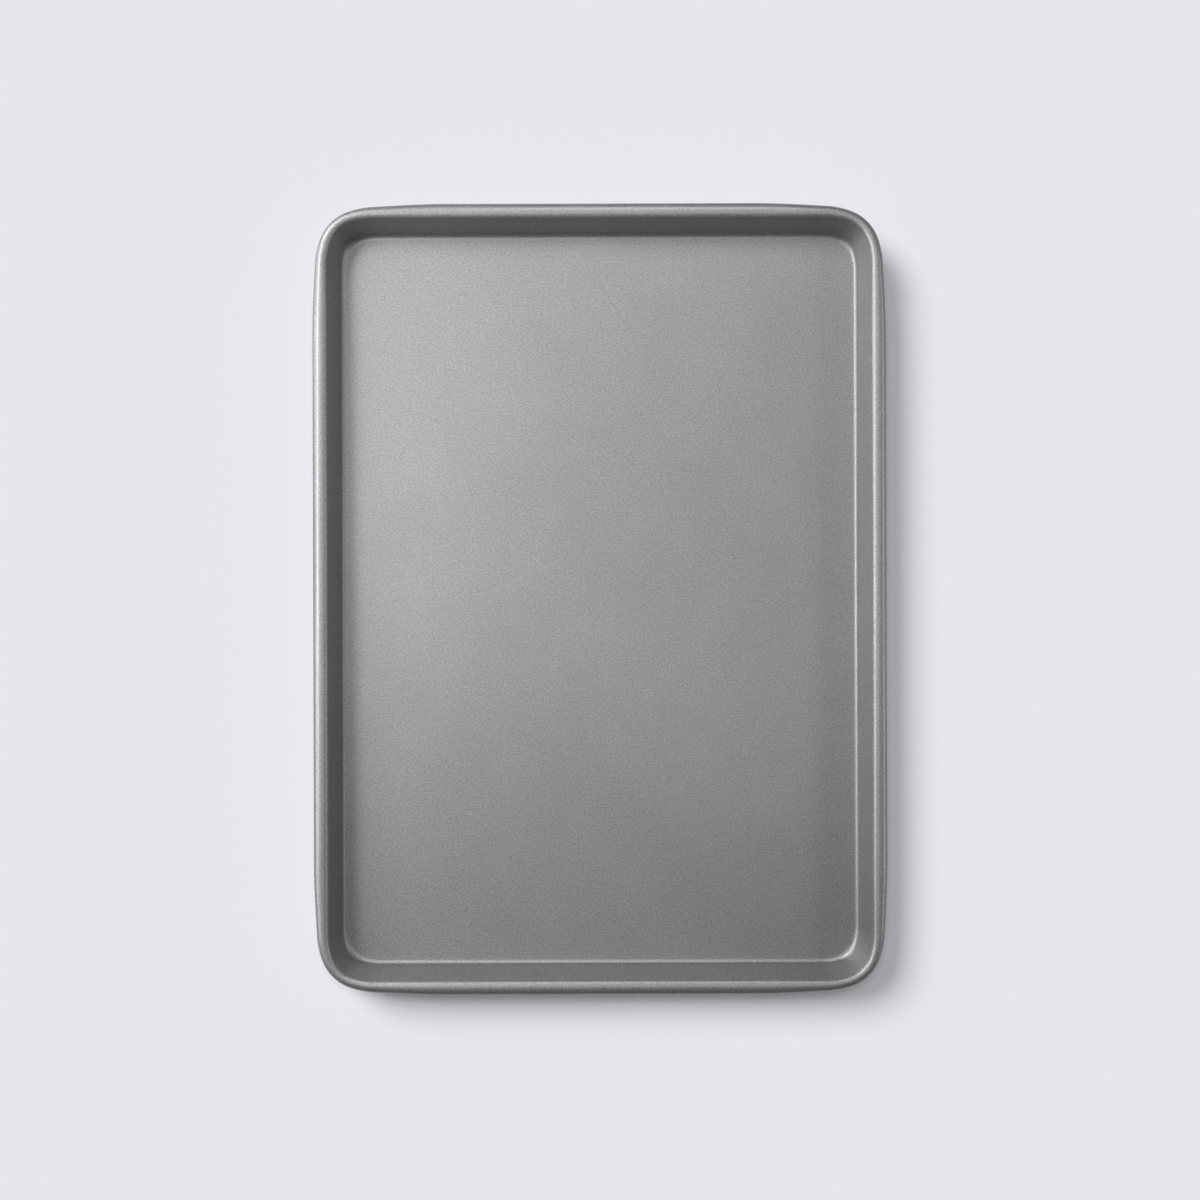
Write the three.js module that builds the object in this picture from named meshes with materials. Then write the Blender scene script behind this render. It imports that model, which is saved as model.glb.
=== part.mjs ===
// Half-size sheet pan: one pressed steel sheet whose edge is rolled round a steel wire.
//
// Frame: millimetres, +Z up. The origin is the middle of the pan's underside, X runs across the pan
// and Y along it.

import * as THREE from "three";

// Driving dimensions, in millimetres and degrees
const LENGTH = 457; // over the rolled rim, along Y
const WIDTH = 331.4; // over the rolled rim, along X
const HEIGHT = 25.4; // from the underside to the top of the rim
const SHEET = 0.8; // thickness of the coated sheet
const WALL_DRAFT = 13.4; // lean of the walls from upright
const FLOOR_FILLET = 3; // inside radius between floor and wall, along the straight walls
const CORNER_FILLET = 5; // the same in the middle of a corner
const FILLET_GROWTH = 1.5; // power with which the fillet grows as the floor's edge turns
const FLOOR_CORNER_RADIUS = 10.7; // plan radius in the middle of the flat floor's corners
const EASE_RADIUS = 34; // plan radius of the wider arcs that lead the floor's sides into its corners
const EASE_ANGLE = 17.5; // turned by each of those arcs
const WIRE_DIAMETER = 3.6;
const WIRE_CLEARANCE = 0.3; // between the wire and the sheet above and below it
const SIDE_RIM_SPREAD = 1.5; // how much wider than high the roll is, each way, along the straight walls
const CORNER_RIM_SPREAD = 0.3; // the same in the middle of a corner
const NARROWING_LEAD = 40; // straight stretch before each corner where the roll begins to tighten
const CURL_GAP = 0.5; // slot between the sheet's cut edge and the outside of the wall
const WIRE_JOINT_GAP = 0.6; // between the butted ends of the wire

// Facets
const LEAD_STEPS = 4;
const EASE_STEPS = 3;
const CORNER_STEPS = 6;
const FILLET_STEPS = 4;
const CURL_STEPS = 4; // in each quarter of the roll
const WIRE_SIDES = 12;

const QUARTER_TURN = Math.PI / 2;
const wallDraft = THREE.MathUtils.degToRad(WALL_DRAFT);
const easeAngle = THREE.MathUtils.degToRad(EASE_ANGLE);

// In section the roll is an oval round the wire, wide along the straight walls and tighter in the corners
const wireRadius = WIRE_DIAMETER / 2;
const rimHalfHeight = wireRadius + WIRE_CLEARANCE + SHEET;
const sideRimHalfWidth = rimHalfHeight + SIDE_RIM_SPREAD;
const cornerRimHalfWidth = rimHalfHeight + CORNER_RIM_SPREAD;

// Sections are drawn with x outward from the floor's edge and y upward. The floor's edge is where the flat
// floor ends along the straight walls.
const sideRollCentre = rollCentre(sideRimHalfWidth);
const floorHalfWidth = WIDTH / 2 - sideRollCentre.x - sideRimHalfWidth;
const floorHalfLength = LENGTH / 2 - sideRollCentre.x - sideRimHalfWidth;

// The oval's angle where the wall runs smoothly into it
function ovalStartAngle(halfWidth, halfHeight) {
  return Math.PI - Math.atan((halfHeight / halfWidth) * Math.tan(wallDraft));
}

// The same place as a point, measured from the oval's centre
function ovalStart(halfWidth, halfHeight) {
  const angle = ovalStartAngle(halfWidth, halfHeight);
  return new THREE.Vector2(halfWidth * Math.cos(angle), halfHeight * Math.sin(angle));
}

// Centre of a roll of the given half width. The wall stays where it is and touches the roll, so a
// narrower roll draws in from the outside.
function rollCentre(halfWidth) {
  const centreHeight = HEIGHT - rimHalfHeight;
  const foot = new THREE.Vector2(Math.cos(wallDraft), -Math.sin(wallDraft));
  foot.multiplyScalar(FLOOR_FILLET).add(filletCentre(FLOOR_FILLET));
  const head = ovalStart(halfWidth, rimHalfHeight);
  const wallRise = centreHeight + head.y - foot.y;
  return new THREE.Vector2(foot.x + wallRise * Math.tan(wallDraft) - head.x, centreHeight);
}

// Points of an oval of the roll from the wall to the sheet's cut edge, with one at its top, its outermost
// and its lowest place
function rollPoints(centre, halfWidth, halfHeight, cutEdge) {
  const stops = [ovalStartAngle(halfWidth, halfHeight), QUARTER_TURN, 0, -QUARTER_TURN, cutEdge];
  const arcs = stops.slice(1).map((to, index) => {
    const from = stops[index];
    const arc = new THREE.EllipseCurve(centre.x, centre.y, halfWidth, halfHeight, from, to, true);
    return arc.getPoints(CURL_STEPS);
  });
  return [arcs[0][0], ...arcs.flatMap((points) => points.slice(1))];
}

// Centre of a fillet of the given radius. It touches the floor and the wall, so a larger one reaches
// further in over the floor.
function filletCentre(radius) {
  const inward = Math.tan((QUARTER_TURN - wallDraft) / 2) * (radius - FLOOR_FILLET);
  return new THREE.Vector2(-inward, SHEET + radius);
}

// Points of the bend between floor and wall on one face of the sheet, from the floor up
function bendPoints(centre, radius) {
  const arc = new THREE.EllipseCurve(centre.x, centre.y, radius, radius, -QUARTER_TURN, -wallDraft);
  return arc.getPoints(FILLET_STEPS);
}

// Section through the sheet at a station. It goes up the inside from the flat floor, round the roll to the
// sheet's cut edge, back inside the roll and down the outside.
function sheetSection({ halfWidth, fillet }) {
  const bendCentre = filletCentre(fillet);
  const centre = rollCentre(halfWidth);
  const wallNormal = new THREE.Vector2(-Math.cos(wallDraft), Math.sin(wallDraft));
  const centreToWall = ovalStart(halfWidth, rimHalfHeight).dot(wallNormal);
  const slotAngle = Math.acos((centreToWall - SHEET - CURL_GAP) / centreToWall);
  const cutEdge = ovalStartAngle(halfWidth, rimHalfHeight) + slotAngle;
  return [
    ...bendPoints(bendCentre, fillet),
    ...rollPoints(centre, halfWidth, rimHalfHeight, cutEdge),
    ...rollPoints(centre, halfWidth - SHEET, rimHalfHeight - SHEET, cutEdge).reverse(),
    ...bendPoints(bendCentre, fillet + SHEET).reverse(),
  ];
}

// Stations along one arc of the floor's edge: the point, and the direction that faces outward there
function arcStations(centre, radius, from, to, steps) {
  return Array.from({ length: steps + 1 }, (_, step) => {
    const angle = THREE.MathUtils.lerp(from, to, step / steps);
    const outward = new THREE.Vector2(Math.cos(angle), Math.sin(angle));
    return { point: outward.clone().multiplyScalar(radius).add(centre), outward };
  });
}

// Adds to each station of a corner the sizes of its section. The roll narrows smoothly from both ends of
// the stretch to its middle, and the fillet grows as the floor's edge turns.
function withSection(stations) {
  const places = stations.map((station) => placeAt(station, sideRollCentre));
  const reached = [0];
  for (let index = 1; index < places.length; index += 1) {
    reached.push(reached[index - 1] + places[index].distanceTo(places[index - 1]));
  }
  const half = reached.at(-1) / 2;
  return stations.map((station, index) => {
    const fromMiddle = Math.abs(reached[index] - half) / half;
    const tightness = THREE.MathUtils.smoothstep(1 - fromMiddle, 0, 1);
    const turned = (2 * station.outward.x * station.outward.y) ** FILLET_GROWTH;
    return {
      ...station,
      halfWidth: THREE.MathUtils.lerp(sideRimHalfWidth, cornerRimHalfWidth, tightness),
      fillet: THREE.MathUtils.lerp(FLOOR_FILLET, CORNER_FILLET, turned),
    };
  });
}

// The same station, moved along the floor's edge where that is straight
function movedStation({ point, outward }, x, y) {
  return { point: new THREE.Vector2(point.x + x, point.y + y), outward };
}

// The corner where x and y are positive, from the long side round to the end: a straight lead, a wide arc,
// the tight middle of the corner, a second wide arc and a lead
function cornerStations() {
  const centreShift = EASE_RADIUS - FLOOR_CORNER_RADIUS;
  const inset = EASE_RADIUS - centreShift * Math.cos(easeAngle);
  const corner = new THREE.Vector2(floorHalfWidth - inset, floorHalfLength - inset);
  const leadIn = new THREE.Vector2(Math.cos(easeAngle), Math.sin(easeAngle));
  const leadOut = new THREE.Vector2(leadIn.y, leadIn.x);
  const easeCentre = (direction) => corner.clone().addScaledVector(direction, -centreShift);
  const turnEnd = QUARTER_TURN - easeAngle;
  const first = arcStations(easeCentre(leadIn), EASE_RADIUS, 0, easeAngle, EASE_STEPS);
  const turn = arcStations(corner, FLOOR_CORNER_RADIUS, easeAngle, turnEnd, CORNER_STEPS);
  const last = arcStations(easeCentre(leadOut), EASE_RADIUS, turnEnd, QUARTER_TURN, EASE_STEPS);
  const leads = Array.from({ length: LEAD_STEPS }, (_, step) => (NARROWING_LEAD * (step + 1)) / LEAD_STEPS);
  const before = leads.map((distance) => movedStation(first[0], 0, -distance)).reverse();
  const after = leads.map((distance) => movedStation(last.at(-1), -distance, 0));
  return withSection([...before, ...first, ...turn.slice(1, -1), ...last, ...after]);
}

// All four corners, counter-clockwise seen from above
function outlineStations() {
  const corner = cornerStations();
  const mirrored = (alongX, alongY) => {
    const mirror = new THREE.Vector2(alongX, alongY);
    const stations = corner.map((station) => ({
      ...station,
      point: station.point.clone().multiply(mirror),
      outward: station.outward.clone().multiply(mirror),
    }));
    return alongX * alongY > 0 ? stations : stations.reverse();
  };
  return [mirrored(1, 1), mirrored(-1, 1), mirrored(-1, -1), mirrored(1, -1)].flat();
}

// A place of the section at one station, in the pan's frame
function placeAt(station, sectionPoint) {
  const plan = station.point.clone().addScaledVector(station.outward, sectionPoint.x);
  return new THREE.Vector3(plan.x, plan.y, sectionPoint.y);
}

// The sheet: one section at each station, skinned, with the flat floor closing it above and below
function sheetGeometry(stations) {
  const sections = stations.map((station) => {
    return sheetSection(station).map((sectionPoint) => placeAt(station, sectionPoint));
  });
  const ringSize = sections[0].length;
  const points = sections.flat();
  const floorMiddle = points.push(new THREE.Vector3(0, 0, SHEET)) - 1;
  const undersideMiddle = points.push(new THREE.Vector3(0, 0, 0)) - 1;
  const triangles = [];
  stations.forEach((_, index) => {
    const here = index * ringSize;
    const next = ((index + 1) % stations.length) * ringSize;
    const last = ringSize - 1;
    triangles.push(floorMiddle, here, next);
    for (let step = 0; step < last; step += 1) {
      triangles.push(here + step, here + step + 1, next + step + 1);
      triangles.push(here + step, next + step + 1, next + step);
    }
    triangles.push(undersideMiddle, next + last, here + last);
  });
  const geometry = new THREE.BufferGeometry().setFromPoints(points);
  geometry.setIndex(triangles);
  geometry.computeVertexNormals();
  return geometry;
}

// The wire's centre line: straight from place to place, and square to each station's outward direction
class WirePath extends THREE.Curve {
  constructor(places) {
    super();
    this.places = places;
  }

  blended(key, share) {
    const along = share * (this.places.length - 1);
    const index = Math.min(Math.floor(along), this.places.length - 2);
    return this.places[index][key].clone().lerp(this.places[index + 1][key], along - index);
  }

  getPoint(share) {
    return this.blended("point", share);
  }

  getTangent(share) {
    return this.blended("direction", share).normalize();
  }

  getUtoTmapping(share) {
    return share;
  }
}

// The wire starts and ends in the middle of one long side, where its two ends butt
function wireGeometry(stations) {
  const jointEnd = (side) => ({
    point: new THREE.Vector2(floorHalfWidth, (side * WIRE_JOINT_GAP) / 2),
    outward: new THREE.Vector2(1, 0),
    halfWidth: sideRimHalfWidth,
  });
  const places = [jointEnd(1), ...stations, jointEnd(-1)].map((station) => ({
    point: placeAt(station, rollCentre(station.halfWidth)),
    direction: new THREE.Vector3(-station.outward.y, station.outward.x, 0),
  }));
  const circle = new THREE.Shape().absarc(0, 0, wireRadius, 0, 2 * Math.PI);
  return new THREE.ExtrudeGeometry(circle, {
    curveSegments: WIRE_SIDES / 2,
    steps: places.length - 1,
    extrudePath: new WirePath(places),
  });
}

function namedMesh(name, geometry, color, roughness, metalness) {
  const mesh = new THREE.Mesh(geometry, new THREE.MeshStandardMaterial({ color, roughness, metalness }));
  mesh.name = name;
  return mesh;
}

const stations = outlineStations();
const pan = new THREE.Group();
pan.name = "sheet_pan";
pan.add(namedMesh("pan_body", sheetGeometry(stations), 0x98989a, 0.4, 0.6));
pan.add(namedMesh("rim_wire", wireGeometry(stations), 0xa9aaa8, 0.35, 0.9));

export default pan;
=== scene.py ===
import math

import bpy
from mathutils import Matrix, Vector


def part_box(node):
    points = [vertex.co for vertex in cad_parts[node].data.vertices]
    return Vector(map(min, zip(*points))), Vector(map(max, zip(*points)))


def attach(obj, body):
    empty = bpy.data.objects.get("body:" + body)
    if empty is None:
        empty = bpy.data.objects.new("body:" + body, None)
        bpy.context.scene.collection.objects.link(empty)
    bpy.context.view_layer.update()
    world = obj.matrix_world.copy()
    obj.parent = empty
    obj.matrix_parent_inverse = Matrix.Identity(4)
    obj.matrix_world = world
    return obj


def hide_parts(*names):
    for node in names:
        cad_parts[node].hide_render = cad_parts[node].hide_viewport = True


# Looks of a half-size sheet pan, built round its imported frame. Metres, +Z up, X across the pan and Y
# along it, with the origin in the middle of the underside.
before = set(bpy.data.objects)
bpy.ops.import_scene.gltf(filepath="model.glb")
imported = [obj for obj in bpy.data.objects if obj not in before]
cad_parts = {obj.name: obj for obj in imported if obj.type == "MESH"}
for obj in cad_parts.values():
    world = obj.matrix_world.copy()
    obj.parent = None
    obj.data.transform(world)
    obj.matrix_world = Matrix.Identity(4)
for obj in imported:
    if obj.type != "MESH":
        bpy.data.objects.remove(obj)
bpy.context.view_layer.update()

MM = 0.001
QUARTER_TURN = math.pi / 2
FULL_TURN = 2 * math.pi

# Sizes that the frame gives
_, body_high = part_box("pan_body")
wire_low, wire_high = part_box("rim_wire")
HALF_WIDTH = body_high.x
HALF_LENGTH = body_high.y
HEIGHT = body_high.z
WIRE_RADIUS = (wire_high.z - wire_low.z) / 2
RIM_CENTRE_HEIGHT = (wire_high.z + wire_low.z) / 2
RIM_HALF_HEIGHT = HEIGHT - RIM_CENTRE_HEIGHT
SIDE_RIM_HALF_WIDTH = HALF_WIDTH - wire_high.x + WIRE_RADIUS

# Sizes of the pressed sheet and the wire
SHEET = 0.8 * MM
WALL_DRAFT = math.radians(13.4)  # lean of the walls from upright
FLOOR_FILLET = 3 * MM  # inside radius between floor and wall, along the straight walls
CORNER_FILLET = 5 * MM  # the same in the middle of a corner
FILLET_GROWTH = 1.5  # power with which the fillet grows as the floor's edge turns
FLOOR_CORNER_RADIUS = 10.7 * MM  # plan radius in the middle of the flat floor's corners
FLOOR_EDGE_BAND = 2 * MM  # level strip that keeps the floor's shading flat up to the fillet
EASE_RADIUS = 34 * MM  # plan radius of the wider arcs that lead the floor's sides into its corners
EASE_ANGLE = math.radians(17.5)  # turned by each of those arcs
CORNER_RIM_SPREAD = 0.3 * MM  # how much wider than high the roll is, each way, in the middle of a corner
CORNER_RIM_HALF_WIDTH = RIM_HALF_HEIGHT + CORNER_RIM_SPREAD
NARROWING_LEAD = 40 * MM  # straight stretch before each corner where the roll begins to tighten
CURL_GAP = 0.5 * MM  # slot between the sheet's cut edge and the outside of the wall
CUT_EDGE_BULGE = 0.3 * MM  # rounding of the coated cut edge
WIRE_JOINT_GAP = 0.6 * MM  # between the butted ends of the wire
WIRE_END_CHAMFER = 0.4 * MM

# Mesh fineness
LEAD_STEPS = 16
EASE_STEPS = 12
CORNER_STEPS = 24
FILLET_STEPS = 12
OUTER_ROLL_STEPS = 12  # in each quarter of the roll
INNER_ROLL_STEPS = 6
CUT_EDGE_STEPS = 6
WIRE_SIDES = 24

# Finish of the sheet
COAT_COLOUR = (0.278, 0.278, 0.287, 1.0)
COAT_METALLIC = 0.76
COAT_SPECULAR_TINT = (0.5, 0.5, 0.5, 1.0)
COAT_ROUGHNESS = (0.47, 0.55)  # in the grain's darkest and lightest specks
GLAZE_WEIGHT = 0.85
GLAZE_ROUGHNESS = 0.2
GRAIN_SIZE = 0.9 * MM
GRAIN_DETAIL = 2
GRAIN_SPAN = (0.2, 0.8)  # noise values of the darkest and lightest specks
GRAIN_SHADE = (0.64, 1.36)  # share of the coat's colour in them
GRAIN_BUMP = 0.25
GRAIN_HEIGHT = 0.02 * MM
MOTTLE_SIZE = 45 * MM
MOTTLE_DETAIL = 3
MOTTLE_SPAN = (0.3, 0.7)  # noise values of the darkest and lightest patches
MOTTLE_SHADE = (0.97, 1.03)  # share of the coat's colour in them
BLACK = (0.0, 0.0, 0.0, 1.0)

# Finish of the wire
SPANGLE_SIZE = 3 * MM
SPANGLE_DETAIL = 3
SPANGLE_DARK = (0.42, 0.43, 0.44, 1.0)
SPANGLE_LIGHT = (0.66, 0.67, 0.67, 1.0)
SPANGLE_ROUGHNESS = (0.28, 0.46)  # in the darkest and lightest spangles

# The photograph's camera: straight above the middle of the pan
CAMERA_HEIGHT = 1.072
CAMERA_OFFSET = Vector((0.0, -0.0005))
CAMERA_ROLL = math.radians(-0.17)
LENS = 54.5

# Studio
BACKDROP_HALF_SIZE = 30.0
BACKDROP_COLOUR = (0.80, 0.79, 0.83, 1.0)
BACKDROP_ROUGHNESS = 0.9
SOFTBOX_DISTANCE = 0.9
SOFTBOXES = (
    # name, degrees turned from +X, degrees off the zenith, width, height, brightness
    ("key_softbox", 150, 54, 0.66, 0.50, 1.8),
    ("key_strip", 156, 41, 0.66, 0.14, 9.2),
    ("left_key_softbox", 190, 41, 0.30, 0.20, 6.0),
    ("left_softbox", 194, 60, 0.35, 0.25, 4.8),
    ("back_left_softbox", 130, 52, 0.35, 0.35, 4.0),
    ("low_left_softbox", 150, 78, 0.60, 0.25, 2.8),
    ("back_softbox", 85, 42, 0.35, 0.30, 4.0),
    ("fill_softbox", 0, 58, 0.80, 0.16, 4.0),
    ("overhead_softbox", 60, 13, 0.70, 0.70, 0.83),
    ("left_overhead_softbox", 165, 22, 0.45, 0.45, 0.82),
    ("front_overhead_softbox", 255, 13, 0.50, 0.40, 0.50),
)
BACKDROP_LAMPS = (
    # name, degrees turned from +X, degrees off the zenith, degrees across, strength
    ("backdrop_key_lamp", 139, 48, 32, 2.58),
    ("backdrop_overhead_lamp", 95, 13, 30, 1.29),
)
DOME_COLOUR = (1.0, 1.0, 1.0, 1.0)
DOME_STRENGTH = 0.05


# Section of the sheet, in points (outward from the floor's edge, upward)
def polar(half_width, half_height, angle):
    return Vector((half_width * math.cos(angle), half_height * math.sin(angle)))


def spread(first, last, steps):
    return [first + (last - first) * step / steps for step in range(steps + 1)]


def fillet_centre(radius):
    """A fillet touches the floor and the wall, so a larger one reaches further in over the floor."""
    inward = math.tan((QUARTER_TURN - WALL_DRAFT) / 2) * (radius - FLOOR_FILLET)
    return Vector((-inward, SHEET + radius))


def roll_start_angle(half_width, half_height):
    """The oval's angle where the wall runs smoothly into it."""
    return math.pi - math.atan(half_height / half_width * math.tan(WALL_DRAFT))


def roll_centre(half_width):
    """The wall stays where it is and touches the roll, so a narrower roll draws in from the outside."""
    head = polar(half_width, RIM_HALF_HEIGHT, roll_start_angle(half_width, RIM_HALF_HEIGHT))
    foot = fillet_centre(FLOOR_FILLET) + polar(FLOOR_FILLET, FLOOR_FILLET, -WALL_DRAFT)
    wall_rise = RIM_CENTRE_HEIGHT + head.y - foot.y
    return Vector((foot.x + wall_rise * math.tan(WALL_DRAFT) - head.x, RIM_CENTRE_HEIGHT))


# The floor's edge is where the flat floor ends along the straight walls
SIDE_ROLL_CENTRE = roll_centre(SIDE_RIM_HALF_WIDTH)
FLOOR_HALF_WIDTH = HALF_WIDTH - SIDE_ROLL_CENTRE.x - SIDE_RIM_HALF_WIDTH
FLOOR_HALF_LENGTH = HALF_LENGTH - SIDE_ROLL_CENTRE.x - SIDE_RIM_HALF_WIDTH


def bend_points(centre, radius):
    """The bend between floor and wall on one face of the sheet, from the floor up."""
    angles = spread(-QUARTER_TURN, -WALL_DRAFT, FILLET_STEPS)
    return [centre + polar(radius, radius, angle) for angle in angles]


def roll_points(centre, half_width, half_height, cut_edge, steps):
    """One face of the roll from the wall over its top, outermost and lowest places to the cut edge."""
    start = roll_start_angle(half_width, half_height)
    stops = [start, QUARTER_TURN, 0, -QUARTER_TURN, cut_edge]
    angles = [start]
    for first, last in zip(stops, stops[1:]):
        angles += spread(first, last, steps)[1:]
    return [centre + polar(half_width, half_height, angle) for angle in angles]


def cut_edge_points(outer, inner):
    """A rounded cut edge between the last point of the roll's outside and that of its inside."""
    middle = (outer + inner) / 2
    across = (outer - inner) / 2
    past_end = Vector((across.y, -across.x)).normalized() * CUT_EDGE_BULGE
    angles = spread(0, math.pi, CUT_EDGE_STEPS)[1:-1]
    return [middle + across * math.cos(angle) + past_end * math.sin(angle) for angle in angles]


def sheet_section(half_width, fillet):
    """From the floor up the inside, round the roll, back through it and down to the underside."""
    bend_centre = fillet_centre(fillet)
    centre = roll_centre(half_width)
    start = roll_start_angle(half_width, RIM_HALF_HEIGHT)
    wall_normal = Vector((-math.cos(WALL_DRAFT), math.sin(WALL_DRAFT)))
    centre_to_wall = polar(half_width, RIM_HALF_HEIGHT, start).dot(wall_normal)
    slot_angle = math.acos((centre_to_wall - SHEET - CURL_GAP) / centre_to_wall)
    cut_edge = start + slot_angle - FULL_TURN
    outside = roll_points(centre, half_width, RIM_HALF_HEIGHT, cut_edge, OUTER_ROLL_STEPS)
    inside = roll_points(centre, half_width - SHEET, RIM_HALF_HEIGHT - SHEET, cut_edge, INNER_ROLL_STEPS)
    return [
        Vector((bend_centre.x - FLOOR_EDGE_BAND, SHEET)),
        *bend_points(bend_centre, fillet),
        *outside,
        *cut_edge_points(outside[-1], inside[-1]),
        *reversed(inside),
        *reversed(bend_points(bend_centre, fillet + SHEET)),
        Vector((bend_centre.x - FLOOR_EDGE_BAND, 0)),
    ]


# Outline of the floor
def arc_places(centre, radius, first, last, steps):
    """Points of the floor's edge along one arc, each with the direction outward there."""
    outwards = [polar(1, 1, angle) for angle in spread(first, last, steps)]
    return [(centre + outward * radius, outward) for outward in outwards]


def smooth(share):
    return share * share * (3 - 2 * share)


def blend(first, last, share):
    return first + (last - first) * share


def with_section(places):
    """Stations from the places of one corner: point, direction outward, half width of the roll, fillet.

    The roll narrows smoothly from both ends of the corner to its middle, and the fillet grows as the
    floor's edge turns."""
    centres = [point + outward * SIDE_ROLL_CENTRE.x for point, outward in places]
    reached = [0.0]
    for before, centre in zip(centres, centres[1:]):
        reached.append(reached[-1] + (centre - before).length)
    half = reached[-1] / 2
    stations = []
    for (point, outward), distance in zip(places, reached):
        tightness = smooth(1 - abs(distance - half) / half)
        half_width = blend(SIDE_RIM_HALF_WIDTH, CORNER_RIM_HALF_WIDTH, tightness)
        turned = (2 * outward.x * outward.y) ** FILLET_GROWTH
        stations.append((point, outward, half_width, blend(FLOOR_FILLET, CORNER_FILLET, turned)))
    return stations


def corner_stations():
    """The corner where x and y are positive, from the long side round to the end."""
    centre_shift = EASE_RADIUS - FLOOR_CORNER_RADIUS
    inset = EASE_RADIUS - centre_shift * math.cos(EASE_ANGLE)
    corner = Vector((FLOOR_HALF_WIDTH - inset, FLOOR_HALF_LENGTH - inset))
    turn_end = QUARTER_TURN - EASE_ANGLE
    ease_in = corner - polar(centre_shift, centre_shift, EASE_ANGLE)
    ease_out = corner - polar(centre_shift, centre_shift, turn_end)
    first = arc_places(ease_in, EASE_RADIUS, 0, EASE_ANGLE, EASE_STEPS)
    turn = arc_places(corner, FLOOR_CORNER_RADIUS, EASE_ANGLE, turn_end, CORNER_STEPS)
    last = arc_places(ease_out, EASE_RADIUS, turn_end, QUARTER_TURN, EASE_STEPS)
    leads = spread(0, NARROWING_LEAD, LEAD_STEPS)[1:]
    before = [(first[0][0] - Vector((0, lead)), first[0][1]) for lead in reversed(leads)]
    after = [(last[-1][0] - Vector((lead, 0)), last[-1][1]) for lead in leads]
    return with_section([*before, *first, *turn[1:-1], *last, *after])


def outline_stations():
    """All four corners, anticlockwise seen from above, from the middle of the right side."""
    corner = corner_stations()
    stations = []
    for along_x, along_y in ((1, 1), (-1, 1), (-1, -1), (1, -1)):
        mirror = Vector((along_x, along_y))
        mirrored = [(point * mirror, outward * mirror, *sizes) for point, outward, *sizes in corner]
        stations += mirrored if along_x * along_y > 0 else reversed(mirrored)
    return stations


def place_at(point, outward, section_point):
    """A point of the section at one station, in the pan's frame."""
    plan = point + outward * section_point.x
    return Vector((plan.x, plan.y, section_point.y))


# Pieces
def add_mesh(name, points, faces):
    mesh = bpy.data.meshes.new(name)
    mesh.from_pydata(points, [], faces)
    mesh.shade_smooth()
    piece = bpy.data.objects.new(name, mesh)
    bpy.context.scene.collection.objects.link(piece)
    return piece


def pressed_sheet():
    """One section at each station, skinned, with the flat floor closing it above and below."""
    stations = outline_stations()
    points = []
    for point, outward, half_width, fillet in stations:
        section = sheet_section(half_width, fillet)
        points += [place_at(point, outward, section_point) for section_point in section]
    count = len(stations)
    ring = len(points) // count
    faces = []
    for index in range(count):
        here = index * ring
        after = (index + 1) % count * ring
        for step in range(ring - 1):
            faces.append((here + step, here + step + 1, after + step + 1, after + step))
    faces += floor_strips(count, ring)
    return add_mesh("pan_sheet", points, faces)


def floor_strips(count, ring):
    """Strips across the flat floor and its underside, between mirrored stations of the two long sides.

    The stations along each straight end lie in one line, so they share the first or the last strip."""
    corner = count // 4
    rows = 2 * corner
    right = [(3 * corner + row) % count * ring for row in range(rows)]
    left = [(3 * corner - 1 - row) * ring for row in range(rows)]
    first = LEAD_STEPS + 1
    last = rows - 1 - first
    spans = [(0, first), *((row, row + 1) for row in range(first, last)), (last, rows - 1)]
    under = ring - 1
    strips = []
    for start, end in spans:
        above = [*right[start:end + 1], *reversed(left[start:end + 1])]
        strips.append(above)
        strips.append([place + under for place in reversed(above)])
    return strips


def bent_wire():
    """The rim's wire, butted in the middle of the right side, with its two ends lightly chamfered."""
    ends = []
    for side in (1, -1):
        tip = Vector((FLOOR_HALF_WIDTH, side * WIRE_JOINT_GAP / 2))
        shoulder = tip + Vector((0, side * WIRE_END_CHAMFER))
        ends.append([(tip, WIRE_RADIUS - WIRE_END_CHAMFER), (shoulder, WIRE_RADIUS)])
    right = Vector((1, 0))
    path = [(point, right, SIDE_ROLL_CENTRE, radius) for point, radius in ends[0]]
    for point, outward, half_width, _ in outline_stations():
        path.append((point, outward, roll_centre(half_width), WIRE_RADIUS))
    path += [(point, right, SIDE_ROLL_CENTRE, radius) for point, radius in reversed(ends[1])]
    angles = spread(0, FULL_TURN, WIRE_SIDES)[:-1]
    points = []
    for point, outward, centre, radius in path:
        points += [place_at(point, outward, centre + polar(radius, radius, angle)) for angle in angles]
    faces = [tuple(range(WIRE_SIDES))]
    for index in range(len(path) - 1):
        here = index * WIRE_SIDES
        after = here + WIRE_SIDES
        for side in range(WIRE_SIDES):
            beside = (side + 1) % WIRE_SIDES
            faces.append((here + side, after + side, after + beside, here + beside))
    last = (len(path) - 1) * WIRE_SIDES
    faces.append(tuple(reversed(range(last, last + WIRE_SIDES))))
    return add_mesh("rim_wire_bent", points, faces)


# Materials
def new_material(name):
    material = bpy.data.materials.new(name)
    material.use_nodes = True
    return material, material.node_tree, material.node_tree.nodes["Principled BSDF"]


def add_noise(tree, patch_size, detail):
    """Noise in the object's own frame, with patches of about the given size."""
    place = tree.nodes.new("ShaderNodeTexCoord")
    noise = tree.nodes.new("ShaderNodeTexNoise")
    noise.inputs["Scale"].default_value = 1 / patch_size
    noise.inputs["Detail"].default_value = detail
    tree.links.new(place.outputs["Object"], noise.inputs["Vector"])
    return noise.outputs["Fac"]


def add_range(tree, source, reach, span=(0.0, 1.0)):
    """The source's values within the span, stretched to reach from the first value to the second."""
    stretch = tree.nodes.new("ShaderNodeMapRange")
    ends = ("From Min", "From Max", "To Min", "To Max")
    for end, value in zip(ends, (*span, *reach)):
        stretch.inputs[end].default_value = value
    tree.links.new(source, stretch.inputs["Value"])
    return stretch.outputs["Result"]


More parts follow.
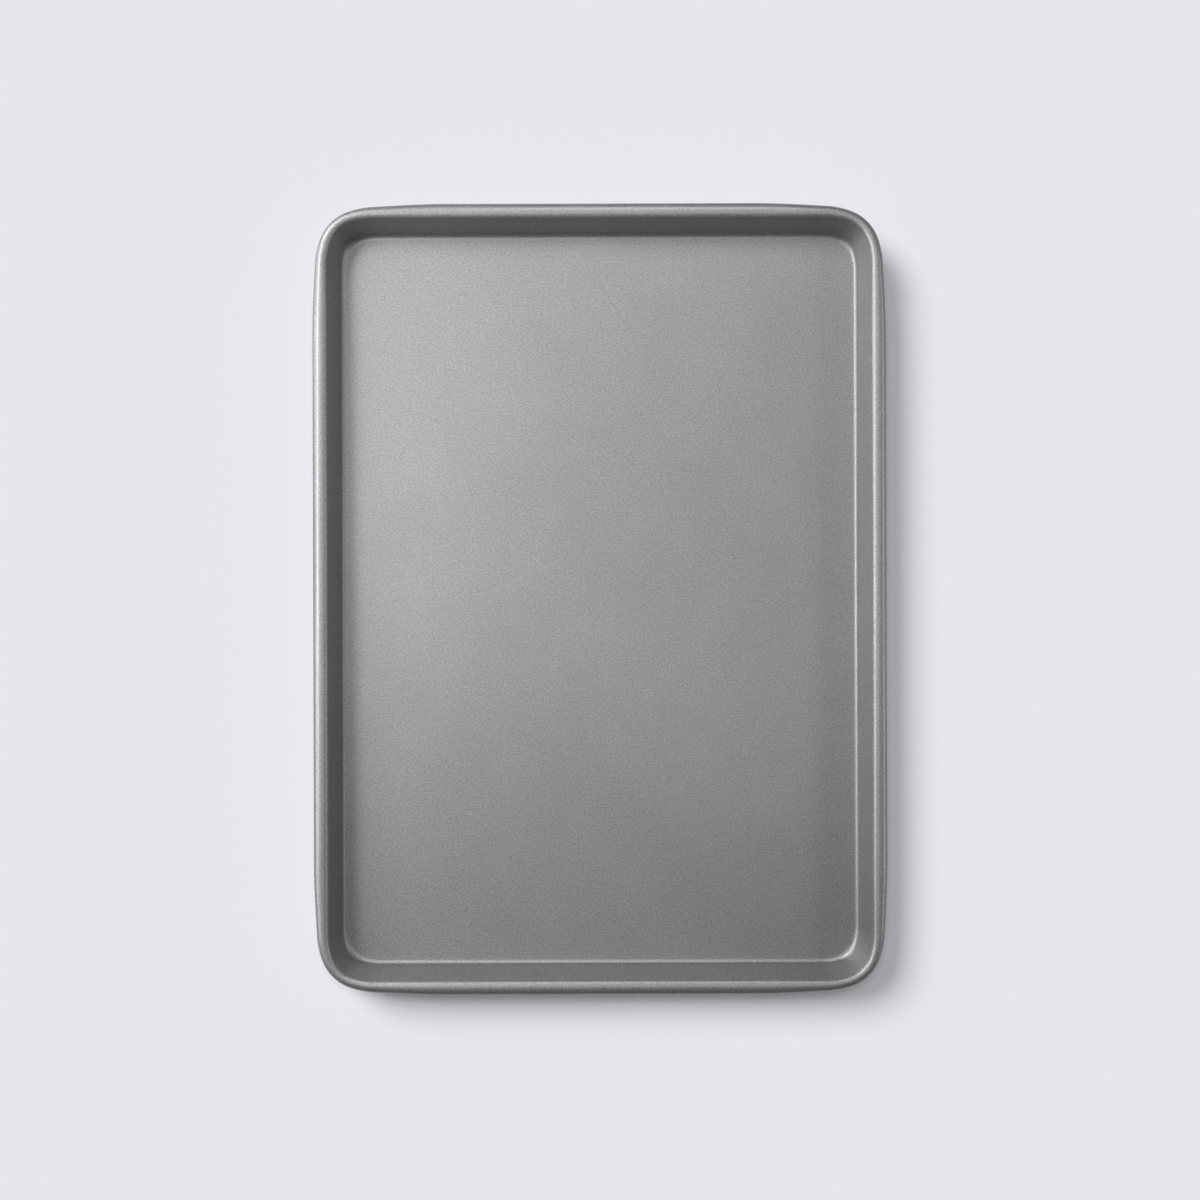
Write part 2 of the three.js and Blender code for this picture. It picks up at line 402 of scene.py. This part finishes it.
def add_colour(tree, shader, dark, light, share):
    """Base colour that goes from dark, where the share is 0, to light, where it is 1, and beyond."""
    tint = tree.nodes.new("ShaderNodeMix")
    tint.data_type = "RGBA"
    tint.clamp_factor = False
    tint.inputs["A"].default_value = dark
    tint.inputs["B"].default_value = light
    tree.links.new(share, tint.inputs["Factor"])
    tree.links.new(tint.outputs["Result"], shader.inputs["Base Color"])


def coated_steel():
    """Grey non-stick finish: a metallic pigment with a fine grain, under a satin glaze."""
    material, tree, shader = new_material("grey_nonstick_coat")
    grain = add_noise(tree, GRAIN_SIZE, GRAIN_DETAIL)
    mottle = add_noise(tree, MOTTLE_SIZE, MOTTLE_DETAIL)
    shade = tree.nodes.new("ShaderNodeMath")
    shade.operation = "MULTIPLY"
    tree.links.new(add_range(tree, grain, GRAIN_SHADE, GRAIN_SPAN), shade.inputs[0])
    tree.links.new(add_range(tree, mottle, MOTTLE_SHADE, MOTTLE_SPAN), shade.inputs[1])
    add_colour(tree, shader, BLACK, COAT_COLOUR, shade.outputs["Value"])
    tree.links.new(add_range(tree, grain, COAT_ROUGHNESS, GRAIN_SPAN), shader.inputs["Roughness"])
    shader.inputs["Metallic"].default_value = COAT_METALLIC
    shader.inputs["Specular Tint"].default_value = COAT_SPECULAR_TINT
    shader.inputs["Coat Weight"].default_value = GLAZE_WEIGHT
    shader.inputs["Coat Roughness"].default_value = GLAZE_ROUGHNESS
    bump = tree.nodes.new("ShaderNodeBump")
    bump.inputs["Strength"].default_value = GRAIN_BUMP
    bump.inputs["Distance"].default_value = GRAIN_HEIGHT
    tree.links.new(grain, bump.inputs["Height"])
    tree.links.new(bump.outputs["Normal"], shader.inputs["Normal"])
    return material


def galvanised_wire():
    """Zinc in lighter and darker spangles."""
    material, tree, shader = new_material("galvanised_wire")
    spangle = add_noise(tree, SPANGLE_SIZE, SPANGLE_DETAIL)
    add_colour(tree, shader, SPANGLE_DARK, SPANGLE_LIGHT, spangle)
    tree.links.new(add_range(tree, spangle, SPANGLE_ROUGHNESS), shader.inputs["Roughness"])
    shader.inputs["Metallic"].default_value = 1.0
    return material


def backdrop_paper():
    """Pale matt paper."""
    material, _, shader = new_material("pale_backdrop")
    shader.inputs["Base Color"].default_value = BACKDROP_COLOUR
    shader.inputs["Roughness"].default_value = BACKDROP_ROUGHNESS
    shader.inputs["Specular IOR Level"].default_value = 0.0
    return material


# Lights, backdrop and camera
def towards(turned, off_zenith):
    """The direction turned from +X and tipped off the zenith by the given degrees."""
    flat = polar(1, 1, math.radians(turned)) * math.sin(math.radians(off_zenith))
    return Vector((flat.x, flat.y, math.cos(math.radians(off_zenith))))


def add_lamp(lamp, direction, receivers):
    """A lamp that shines from the given direction on the receivers alone, unseen by the camera."""
    fixture = bpy.data.objects.new(lamp.name, lamp)
    bpy.context.scene.collection.objects.link(fixture)
    fixture.location = direction * SOFTBOX_DISTANCE
    fixture.rotation_euler = direction.to_track_quat("Z", "Y").to_euler()
    fixture.visible_camera = False
    lit = bpy.data.collections.new(lamp.name + "_lights")
    for receiver in receivers:
        lit.objects.link(receiver)
    fixture.light_linking.receiver_collection = lit


def softboxes(pieces):
    """Softboxes near the pan, which shade its floor from corner to corner and leave the backdrop even."""
    for name, turned, off_zenith, width, height, brightness in SOFTBOXES:
        lamp = bpy.data.lights.new(name, "AREA")
        lamp.shape = "RECTANGLE"
        lamp.size = width
        lamp.size_y = height
        lamp.energy = brightness * math.pi * width * height
        add_lamp(lamp, towards(turned, off_zenith), pieces)


def backdrop_lamps(floor):
    """Far lamps for the backdrop, which give it the pan's shadow and an even light elsewhere."""
    for name, turned, off_zenith, across, strength in BACKDROP_LAMPS:
        lamp = bpy.data.lights.new(name, "SUN")
        lamp.angle = math.radians(across)
        lamp.energy = strength
        add_lamp(lamp, towards(turned, off_zenith), [floor])


def studio_dome():
    """Faint light from all round. The camera sees the backdrop's colour there."""
    world = bpy.data.worlds.new("studio_dome")
    bpy.context.scene.world = world
    world.use_nodes = True
    nodes = world.node_tree.nodes
    links = world.node_tree.links
    light = nodes["Background"]
    light.inputs["Color"].default_value = DOME_COLOUR
    light.inputs["Strength"].default_value = DOME_STRENGTH
    plain = nodes.new("ShaderNodeBackground")
    plain.inputs["Color"].default_value = BACKDROP_COLOUR
    seen = nodes.new("ShaderNodeLightPath")
    choose = nodes.new("ShaderNodeMixShader")
    links.new(seen.outputs["Is Camera Ray"], choose.inputs["Fac"])
    links.new(light.outputs["Background"], choose.inputs[1])
    links.new(plain.outputs["Background"], choose.inputs[2])
    links.new(choose.outputs["Shader"], nodes["World Output"].inputs["Surface"])


def studio_floor():
    """The plain backdrop that the pan stands on."""
    half = BACKDROP_HALF_SIZE
    corners = [(-half, -half, 0), (half, -half, 0), (half, half, 0), (-half, half, 0)]
    floor = add_mesh("studio_floor", corners, [(0, 1, 2, 3)])
    floor.data.materials.append(backdrop_paper())
    return floor


def overhead_camera():
    camera = bpy.data.objects.new("camera", bpy.data.cameras.new("camera"))
    bpy.context.scene.collection.objects.link(camera)
    camera.location = (CAMERA_OFFSET.x, CAMERA_OFFSET.y, CAMERA_HEIGHT)
    camera.rotation_euler = (0, 0, CAMERA_ROLL)
    camera.data.lens = LENS
    bpy.context.scene.camera = camera


def dress(piece, node, material):
    """The piece stands for the CAD node, rides with it and takes the finish."""
    piece.data.materials.append(material)
    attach(piece, "root")
    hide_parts(node)
    return piece


sheet = dress(pressed_sheet(), "pan_body", coated_steel())
wire = dress(bent_wire(), "rim_wire", galvanised_wire())
softboxes([sheet, wire])
backdrop_lamps(studio_floor())
studio_dome()
overhead_camera()
bpy.context.scene.view_settings.view_transform = "Standard"
